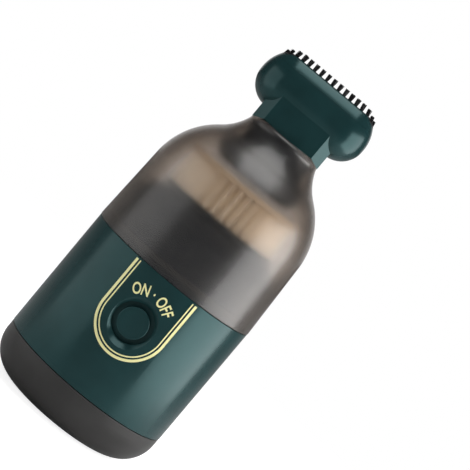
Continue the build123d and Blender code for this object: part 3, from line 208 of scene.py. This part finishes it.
FINISHES = {
    "green_plastic": finish_of(
        "green_plastic", (0.0105, 0.036, 0.038), rough=(0.20, 0.25),
        sockets=[("Specular IOR Level", 0.46), ("Specular Tint", (0.60, 1.0, 1.0, 1.0))]
    ),
    "charcoal_plastic": finish_of(
        "charcoal_plastic", (0.046, 0.045, 0.044), rough=(0.30, 0.36),
        sockets=[("Specular IOR Level", 0.28)]
    ),
    "inner_plastic": finish_of("inner_plastic", (0.020, 0.020, 0.022), rough=(0.45, 0.55)),
    "cover_plastic": finish_of(
        "cover_plastic", (0.006, 0.009, 0.014), rough=(0.5, 0.6), sockets=[("Specular IOR Level", 0.2)]
    ),
    "gold_trim": finish_of(
        "gold_trim", (0.97, 0.92, 0.46), vary=0.03, rough=(0.26, 0.34), bump=0.06
    ),
    "black_rubber": finish_of(
        "black_rubber", (0.018, 0.018, 0.018), rough=(0.62, 0.75), fine=2500, bump=0.2
    ),
    "filter_paper": finish_of(
        "filter_paper", (0.97, 0.85, 0.69), vary=0.03, rough=(0.85, 0.95), cloud=400, fine=2600,
        bump=0.5, depth=6e-5
    ),
    "cream_plastic": finish_of("cream_plastic", (0.70, 0.54, 0.38), vary=0.05, rough=(0.45, 0.55)),
    "bristle_nylon": finish_of(
        "bristle_nylon", (0.010, 0.010, 0.011), rough=(0.32, 0.42), cloud=900
    ),
    "zinc_steel": finish_of(
        "zinc_steel", (0.55, 0.55, 0.54), rough=(0.25, 0.4), metallic=1.0, fine=9000, bump=0.06
    ),
    "magnet_ferrite": finish_of(
        "magnet_ferrite", (0.05, 0.05, 0.055), rough=(0.55, 0.7), fine=7000, bump=0.25
    ),
    "bronze": finish_of("bronze", (0.60, 0.38, 0.20), rough=(0.35, 0.5), metallic=1.0, fine=6000),
    "nickel": finish_of("nickel", (0.66, 0.63, 0.57), rough=(0.22, 0.34), metallic=1.0, bump=0.05),
    "cell_wrap": finish_of("cell_wrap", (0.04, 0.15, 0.34), vary=0.05, rough=(0.25, 0.35)),
    "board_laminate": finish_of(
        "board_laminate", (0.02, 0.13, 0.06), vary=0.2, rough=(0.3, 0.42), cloud=700, fine=3000
    ),
    "light_guide": finish_of(
        "light_guide", (0.82, 0.86, 0.84), vary=0.03, rough=(0.15, 0.25),
        sockets=[("Transmission Weight", 0.8), ("IOR", 1.49)]
    ),
    "exhaust_foam": finish_of(
        "exhaust_foam", (0.05, 0.05, 0.055), rough=(0.9, 1.0), fine=1400, bump=1.0, depth=2e-4
    ),
    "lead_wire": finish_of("lead_wire", (0.35, 0.02, 0.02), vary=0.08, rough=(0.4, 0.5)),
    "smoky_clear": smoky_clear(),
}

NODE_FINISH = {
    "green_plastic": ["drum_shell", "power_button", "brush_head", "mouth_plate"],
    "charcoal_plastic": ["base_cap"],
    "inner_plastic": [
        "fan_housing", "fan_shroud", "impeller", "cell_cradle", "switch_body", "switch_plunger",
        "motor_end_cap", "charge_socket",
    ],
    "cover_plastic": ["motor_cover", "filter_base", "inlet_bell"],
    "smoky_clear": ["dust_cup"],
    "gold_trim": ["trim_outer", "trim_inner"],
    "black_rubber": ["foot_ring", "cup_seal", "filter_gasket", "neck_o_ring"],
    "filter_paper": ["filter_pleats"],
    "cream_plastic": ["filter_cap"],
    "bristle_nylon": ["bristles_front", "bristles_back", "bristles_left", "bristles_right"],
    "zinc_steel": [
        "base_screws", "board_screws", "cover_screws", "motor_screws", "motor_can", "motor_shaft",
        "armature",
    ],
    "magnet_ferrite": ["motor_magnets"],
    "bronze": ["motor_bushes", "commutator", "motor_brushes"],
    "nickel": ["socket_pin", "cell_tabs"],
    "cell_wrap": ["cell_left", "cell_right"],
    "board_laminate": ["control_board", "side_board", "board_parts"],
    "light_guide": ["light_pipe"],
    "exhaust_foam": ["exhaust_foam"],
    "lead_wire": ["motor_leads", "cell_leads", "socket_leads"],
}


def paint(piece, finish):
    piece.data.materials.clear()
    piece.data.materials.append(FINISHES[finish])


for finish, names in NODE_FINISH.items():
    for name in names:
        paint(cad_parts[name], finish)


# Pieces
def piece_of(bm, name, finish, body, smooth_deg=30):
    """Mesh piece in metres from a bmesh drawn in millimetres."""
    bmesh.ops.scale(bm, vec=(MM, MM, MM), verts=bm.verts)
    mesh = bpy.data.meshes.new(name)
    bm.to_mesh(mesh)
    bm.free()
    piece = bpy.data.objects.new(name, mesh)
    bpy.context.scene.collection.objects.link(piece)
    paint(piece, finish)
    mesh.shade_smooth()
    if smooth_deg:
        mesh.set_sharp_from_angle(angle=radians(smooth_deg))
    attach(piece, body)
    return piece


class Outline:
    """Line in the X-Z plane, drawn by straight moves and arcs, to be turned about Z."""

    def __init__(self, x, z):
        self.bm = bmesh.new()
        self.tip = self.bm.verts.new((x, 0, z))

    def line(self, x, z):
        grown = bmesh.ops.extrude_vert_indiv(self.bm, verts=[self.tip])
        self.tip = grown["verts"][0]
        self.tip.co = (x, 0, z)

    def arc(self, x, z, turn_deg, steps):
        """Turns the tip about a centre, anticlockwise as seen from the front."""
        swept = bmesh.ops.spin(
            self.bm, geom=[self.tip], cent=(x, 0, z), axis=(0, -1, 0), dvec=(0, 0, 0),
            angle=radians(turn_deg), steps=steps, use_duplicate=False
        )
        self.tip = swept["geom_last"][0]

    def turned(self):
        bm = self.bm
        bmesh.ops.spin(
            bm, geom=bm.verts[:] + bm.edges[:], cent=(0, 0, 0), axis=(0, 0, 1), dvec=(0, 0, 0),
            angle=2 * pi, steps=TURN_STEPS, use_merge=True, use_duplicate=False
        )
        bmesh.ops.remove_doubles(bm, verts=bm.verts, dist=1e-4)
        bmesh.ops.recalc_face_normals(bm, faces=bm.faces)
        return bm


def taper_start(rim_r, dome_r):
    """Where the taper from the rim meets the dome, and the dome's angle there."""
    dx = rim_r - DOME_C_R
    dz = CUP_LOW_Z - DOME_C_Z
    angle = atan2(dz, dx) + acos(dome_r / hypot(dx, dz))
    return DOME_C_R + dome_r * cos(angle), DOME_C_Z + dome_r * sin(angle), degrees(angle)


def make_cup():
    dome_end, flare_end = radians(DOME_END_DEG), radians(FLARE_END_DEG)
    flare_r = (DOME_C_R + DOME_R * cos(dome_end) - COLLAR_R) / (cos(flare_end) - cos(dome_end))
    flare_c_r = DOME_C_R + (DOME_R + flare_r) * cos(dome_end)
    flare_c_z = DOME_C_Z + (DOME_R + flare_r) * sin(dome_end)
    in_flare = flare_r + CUP_WALL
    in_deg = degrees(acos((flare_c_r - COLLAR_BORE_R) / in_flare))
    lip_c = COLLAR_R - COLLAR_LIP_R
    lip_z = flare_c_z - flare_r * sin(flare_end)
    bore_deg = degrees(acos((COLLAR_BORE_R - lip_c) / COLLAR_LIP_R))

    outline = Outline(CUP_R - CUP_LIP, CUP_LOW_Z)
    outline.arc(CUP_R - CUP_LIP, CUP_LOW_Z + CUP_LIP, 90, LIP_STEPS)
    x, z, start_deg = taper_start(CUP_R, DOME_R)
    outline.line(x, z)
    outline.arc(DOME_C_R, DOME_C_Z, DOME_END_DEG - start_deg, DOME_STEPS)
    outline.arc(flare_c_r, flare_c_z, FLARE_END_DEG - DOME_END_DEG, FLARE_STEPS)
    outline.arc(lip_c, lip_z, bore_deg, COLLAR_LIP_STEPS)
    outline.line(COLLAR_BORE_R, flare_c_z - in_flare * sin(radians(in_deg)))
    outline.arc(flare_c_r, flare_c_z, DOME_END_DEG - in_deg, FLARE_STEPS)
    x, z, start_deg = taper_start(CUP_R - CUP_WALL, DOME_R - CUP_WALL)
    outline.arc(DOME_C_R, DOME_C_Z, start_deg - DOME_END_DEG, DOME_STEPS)
    outline.line(CUP_R - CUP_WALL, CUP_LOW_Z)
    outline.line(CUP_R - CUP_LIP, CUP_LOW_Z)
    cup = piece_of(outline.turned(), "smoky_cup", "smoky_clear", "dust_cup", 40)
    cup.visible_shadow = False
    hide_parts("dust_cup")


def head_top_z(x, y):
    """Height of the head's outer surface near its top."""
    d = hypot(max(abs(x) - HEAD_CORE, 0), y)
    shoulder_c = HEAD_HALF_D - SHOULDER_R
    edge_z = HEAD_TOP_Z - TOP_EDGE_R
    edge_c = shoulder_c + ((SHOULDER_R - TOP_EDGE_R) ** 2 - (edge_z - SHOULDER_Z) ** 2) ** 0.5
    if d <= edge_c:
        return HEAD_TOP_Z
    if d - edge_c < TOP_EDGE_R * 0.74:
        return edge_z + (TOP_EDGE_R**2 - (d - edge_c) ** 2) ** 0.5
    return SHOULDER_Z + (SHOULDER_R**2 - (d - shoulder_c) ** 2) ** 0.5


def tuft_places():
    """Tuft roots round the mouth's oval, by the strip that holds them."""
    pitch = (4 * TUFT_CORE + 2 * pi * TUFT_RING_R) / TUFTS
    places = {"front": [], "back": [], "left": [], "right": []}
    for k in range(TUFTS // 4 + 1):
        run = k * pitch
        if run <= TUFT_CORE:
            x, y = run, -TUFT_RING_R
            for side in ([1] if k == 0 else [1, -1]):
                places["front"].append((side * x, y))
                places["back"].append((side * x, -y))
        else:
            turn = (run - TUFT_CORE) / TUFT_RING_R
            x, y = TUFT_CORE + TUFT_RING_R * sin(turn), -TUFT_RING_R * cos(turn)
            places["right"] += [(x, y), (x, -y)]
            places["left"] += [(-x, y), (-x, -y)]
    return places


def add_tuft(bm, x, y, chance):
    """Round bundle of tapered strands whose tips fan out a little."""
    lean = -tan(radians(TIP_LEAN_DEG)) * x * abs(x) / (TUFT_CORE + TUFT_RING_R) ** 2
    on_arc = max(abs(x) - TUFT_CORE, 0) / TUFT_RING_R
    top = head_top_z(x, y) + TUFT_L + on_arc * (TUFT_END_L - TUFT_L)
    for k in range(STRANDS):
        radius = TUFT_R * ((k + 0.5) / STRANDS) ** 0.5
        angle = k * GOLDEN_ANGLE + x
        ox, oy = radius * cos(angle), radius * sin(angle)
        way = Vector((
            lean + STRAND_SPLAY * ox + chance.uniform(-STRAND_STRAY, STRAND_STRAY),
            STRAND_SPLAY * oy + chance.uniform(-STRAND_STRAY, STRAND_STRAY), 1
        )).normalized()
        low = head_top_z(x + ox, y + oy) - STRAND_ROOT
        length = (top - chance.uniform(*STRAND_SHORT) - low) / way.z
        root = Vector((x + ox, y + oy, low))
        turn = way.to_track_quat("Z", "Y").to_matrix().to_4x4()
        bmesh.ops.create_cone(
            bm, cap_ends=True, segments=STRAND_SIDES, radius1=STRAND_R,
            radius2=STRAND_R * STRAND_TIP, depth=length,
            matrix=Matrix.Translation(root + way * (length / 2)) @ turn
        )


def add_backing(bm, side):
    """Strip in the plate's groove, as high as the head's surface."""
    straight = side in ("front", "back")
    way = -1 if side in ("front", "left") else 1
    low = HEAD_TOP_Z - (BACKING_T if straight else BACKING_ARC_T)
    inner, outer = TUFT_RING_R - BACKING_W / 2, TUFT_RING_R + BACKING_W / 2
    marks = [inner + k / BACKING_LANES * BACKING_W for k in range(BACKING_LANES + 1)]
    core = TUFT_CORE - BACKING_GAP
    start = -core if straight else TUFT_CORE * way
    turn = way if straight else -1
    loop = [(start, r * turn, HEAD_TOP_Z) for r in marks]
    loop += [(start, r * turn, low) for r in reversed(marks)]
    face = bm.faces.new([bm.verts.new(co) for co in loop])
    if straight:
        bmesh.ops.spin(
            bm, geom=[face], cent=(0, 0, 0), axis=(0, 0, 1), dvec=(2 * core / BACKING_STEPS, 0, 0),
            angle=0, steps=BACKING_STEPS, use_duplicate=False
        )
    else:
        bmesh.ops.spin(
            bm, geom=[face], cent=(start, 0, 0), axis=(0, 0, 1), dvec=(0, 0, 0),
            angle=pi * way, steps=BACKING_STEPS, use_duplicate=False
        )
    for v in bm.verts:
        if v.co.z > HEAD_TOP_Z - 0.01:
            v.co.z = head_top_z(v.co.x, v.co.y)
    bmesh.ops.recalc_face_normals(bm, faces=bm.faces)


def make_tufts():
    chance = Random(7)
    for side, places in tuft_places().items():
        bm = bmesh.new()
        add_backing(bm, side)
        for x, y in places:
            add_tuft(bm, x, y, chance)
        tufts = piece_of(bm, f"tufts_{side}", "bristle_nylon", "brush_head", 40)
        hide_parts(f"bristles_{side}")


def make_letters():
    """Words over the button, bent along its arc and round the drum."""
    shapes = []
    for mark in LETTERS:
        if mark == " ":
            shapes.append((None, LETTER_H * SPACE_W))
            continue
        curve = bpy.data.curves.new("letter", "FONT")
        curve.body = mark
        curve.size = LETTER_H / CAP_HEIGHT
        curve.offset = LETTER_BOLD
        curve.extrude = LETTER_PROUD
        curve.resolution_u = 4
        holder = bpy.data.objects.new("letter", curve)
        bpy.context.scene.collection.objects.link(holder)
        bpy.context.view_layer.update()
        mesh = bpy.data.meshes.new_from_object(holder)
        bpy.data.objects.remove(holder)
        low = min(v.co.x for v in mesh.vertices)
        high = max(v.co.x for v in mesh.vertices)
        mesh.transform(Matrix.Diagonal((LETTER_SQUEEZE, 1, 1, 1)) @ Matrix.Translation((-low, 0, 0)))
        shapes.append((mesh, (high - low) * LETTER_SQUEEZE))
    total = sum(width for mesh, width in shapes) + LETTER_GAP * (len(shapes) - 1)
    bm = bmesh.new()
    at = -total / 2
    base_r = LETTER_ARC_R - LETTER_H / 2
    for mesh, width in shapes:
        if mesh:
            first = len(bm.verts)
            bm.from_mesh(mesh)
            bm.verts.ensure_lookup_table()
            middle = (at + width / 2) / LETTER_ARC_R
            for v in bm.verts[first:]:
                u, up, out = v.co.x - width / 2, v.co.y + base_r, v.co.z
                across = u * cos(middle) + up * sin(middle)
                height = BUTTON_Z - u * sin(middle) + up * cos(middle)
                radius = DRUM_R + out
                v.co = (
                    radius * sin(across / DRUM_R), -radius * cos(across / DRUM_R), height
                )
        at += width + LETTER_GAP
    bmesh.ops.remove_doubles(bm, verts=bm.verts, dist=1e-4)
    bmesh.ops.recalc_face_normals(bm, faces=bm.faces)
    piece_of(bm, "switch_lettering", "gold_trim", "drum", 30)


make_cup()
make_tufts()
make_letters()


# Floor, world, lamps and camera
CAMERA_AT = (0.0, -0.6825, 0.1322)
CAMERA_YAW = 0.0110
CAMERA_PITCH = 0.0657
CAMERA_ROLL_DEG = 40.0
FOCAL_PX = 1968.0
PHOTO_PX = 470.0
SENSOR = 36.0
FLOOR_R = 3.0
FLOOR_GREY = 0.55
FLOOR_GLOW = 0.82
FLOOR_FADE = (0.10, 0.45)
WORLD_LIGHT = 0.05
WORLD_WHITE = (0.75, 0.97)

# Soft boxes: azimuth from the button's side and elevation in degrees, then the distance, the
# width and the height in metres, the power in watts and the height of the point aimed at
LAMPS = {
    "right_box": (76, 0, 0.19, 0.21, 0.20, 0.47, 0.10),
    "left_box": (-66, 0, 0.19, 0.20, 0.20, 0.115, 0.10),
    "top_box": (0, 82, 0.55, 0.42, 0.42, 1.8, 0.11),
    "front_fill": (-14, 14, 0.9, 0.5, 0.5, 1.6, 0.08),
    "back_fill": (170, 20, 0.9, 0.5, 0.5, 1.8, 0.08),
}
UNREFLECTED = ("front_fill", "back_fill")


def make_floor():
    bm = bmesh.new()
    bmesh.ops.create_circle(bm, cap_ends=True, segments=96, radius=FLOOR_R)
    mesh = bpy.data.meshes.new("floor")
    bm.to_mesh(mesh)
    bm.free()
    floor = bpy.data.objects.new("floor", mesh)
    bpy.context.scene.collection.objects.link(floor)
    material = bpy.data.materials.new("pale_floor")
    material.use_nodes = True
    tree = material.node_tree
    tree.nodes.clear()
    out = tree.nodes.new("ShaderNodeOutputMaterial")
    mix = tree.nodes.new("ShaderNodeMixShader")
    near = tree.nodes.new("ShaderNodeBsdfDiffuse")
    near.inputs["Color"].default_value = (FLOOR_GREY, FLOOR_GREY, FLOOR_GREY, 1)
    glow = tree.nodes.new("ShaderNodeEmission")
    lit = tree.nodes.new("ShaderNodeAddShader")
    far = tree.nodes.new("ShaderNodeEmission")
    far.inputs["Strength"].default_value = 1.0
    place = tree.nodes.new("ShaderNodeTexCoord")
    length = tree.nodes.new("ShaderNodeVectorMath")
    length.operation = "LENGTH"
    tree.links.new(place.outputs["Object"], length.inputs[0])
    fade = tree.nodes.new("ShaderNodeMapRange")
    fade.interpolation_type = "SMOOTHSTEP"
    fade.inputs["From Min"].default_value = FLOOR_FADE[0]
    fade.inputs["From Max"].default_value = FLOOR_FADE[1]
    tree.links.new(length.outputs["Value"], fade.inputs["Value"])
    path = tree.nodes.new("ShaderNodeLightPath")
    seen = tree.nodes.new("ShaderNodeMath")
    seen.operation = "MAXIMUM"
    tree.links.new(path.outputs["Is Camera Ray"], seen.inputs[0])
    tree.links.new(path.outputs["Is Transmission Ray"], seen.inputs[1])
    fac = tree.nodes.new("ShaderNodeMath")
    fac.operation = "MULTIPLY"
    tree.links.new(fade.outputs["Result"], fac.inputs[0])
    tree.links.new(seen.outputs["Value"], fac.inputs[1])
    tree.links.new(fac.outputs["Value"], mix.inputs["Fac"])
    level = tree.nodes.new("ShaderNodeMath")
    level.operation = "MULTIPLY"
    level.inputs[1].default_value = FLOOR_GLOW
    tree.links.new(seen.outputs["Value"], level.inputs[0])
    tree.links.new(level.outputs["Value"], glow.inputs["Strength"])
    tree.links.new(near.outputs["BSDF"], lit.inputs[0])
    tree.links.new(glow.outputs["Emission"], lit.inputs[1])
    tree.links.new(lit.outputs["Shader"], mix.inputs[1])
    tree.links.new(far.outputs["Emission"], mix.inputs[2])
    tree.links.new(mix.outputs["Shader"], out.inputs["Surface"])
    mesh.materials.append(material)


def make_world():
    """White behind everything for the camera, dimmer as a light."""
    world = bpy.data.worlds.new("studio")
    bpy.context.scene.world = world
    world.use_nodes = True
    tree = world.node_tree
    tree.nodes.clear()
    out = tree.nodes.new("ShaderNodeOutputWorld")
    mix = tree.nodes.new("ShaderNodeMixShader")
    light = tree.nodes.new("ShaderNodeBackground")
    light.inputs["Color"].default_value = (1, 1, 1, 1)
    light.inputs["Strength"].default_value = WORLD_LIGHT
    white = tree.nodes.new("ShaderNodeBackground")
    white.inputs["Color"].default_value = (1, 1, 1, 1)
    white.inputs["Strength"].default_value = 1.0
    path = tree.nodes.new("ShaderNodeLightPath")
    place = tree.nodes.new("ShaderNodeTexCoord")
    axes = tree.nodes.new("ShaderNodeSeparateXYZ")
    tree.links.new(place.outputs["Generated"], axes.inputs["Vector"])
    behind = tree.nodes.new("ShaderNodeMapRange")
    behind.inputs["From Min"].default_value = WORLD_WHITE[0]
    behind.inputs["From Max"].default_value = WORLD_WHITE[1]
    tree.links.new(axes.outputs["Y"], behind.inputs["Value"])
    bent = tree.nodes.new("ShaderNodeMath")
    bent.operation = "MAXIMUM"
    tree.links.new(path.outputs["Is Glossy Ray"], bent.inputs[0])
    tree.links.new(path.outputs["Is Transmission Ray"], bent.inputs[1])
    seen = tree.nodes.new("ShaderNodeMath")
    seen.operation = "MULTIPLY"
    tree.links.new(bent.outputs["Value"], seen.inputs[0])
    tree.links.new(behind.outputs["Result"], seen.inputs[1])
    fac = tree.nodes.new("ShaderNodeMath")
    fac.operation = "MAXIMUM"
    tree.links.new(path.outputs["Is Camera Ray"], fac.inputs[0])
    tree.links.new(seen.outputs["Value"], fac.inputs[1])
    tree.links.new(fac.outputs["Value"], mix.inputs["Fac"])
    tree.links.new(light.outputs["Background"], mix.inputs[1])
    tree.links.new(white.outputs["Background"], mix.inputs[2])
    tree.links.new(mix.outputs["Shader"], out.inputs["Surface"])


def make_lamp(name, azimuth, elevation, distance, width, height, power, aim_z):
    """Soft box aimed at the axis; a positive azimuth is to the right."""
    a, e = radians(azimuth), radians(elevation)
    way = Vector((sin(a) * cos(e), -cos(a) * cos(e), sin(e)))
    lamp = bpy.data.lights.new(name, "AREA")
    lamp.shape = "RECTANGLE"
    lamp.size = width
    lamp.size_y = height
    lamp.energy = power
    holder = bpy.data.objects.new(name, lamp)
    bpy.context.scene.collection.objects.link(holder)
    holder.location = Vector((0, 0, aim_z)) + way * distance
    holder.rotation_mode = "QUATERNION"
    holder.rotation_quaternion = way.to_track_quat("Z", "Y")
    return holder


def make_camera():
    camera = bpy.data.cameras.new("camera")
    camera.sensor_width = SENSOR
    camera.lens = FOCAL_PX / PHOTO_PX * SENSOR
    camera.clip_start = 0.01
    camera.clip_end = 20
    holder = bpy.data.objects.new("camera", camera)
    bpy.context.scene.collection.objects.link(holder)
    ahead = Vector((
        cos(CAMERA_PITCH) * sin(CAMERA_YAW), cos(CAMERA_PITCH) * cos(CAMERA_YAW), -sin(CAMERA_PITCH)
    ))
    right = Vector((cos(CAMERA_YAW), -sin(CAMERA_YAW), 0))
    up = right.cross(ahead)
    roll = radians(CAMERA_ROLL_DEG)
    side = right * cos(roll) + up * sin(roll)
    top = up * cos(roll) - right * sin(roll)
    turn = Matrix((side, top, -ahead)).transposed()
    holder.matrix_world = Matrix.Translation(CAMERA_AT) @ turn.to_4x4()
    bpy.context.scene.camera = holder


make_floor()
make_world()
for name, values in LAMPS.items():
    lamp = make_lamp(name, *values)
    if name in UNREFLECTED:
        lamp.visible_glossy = False
        lamp.visible_transmission = False
make_camera()

bpy.context.scene.view_settings.view_transform = "Standard"
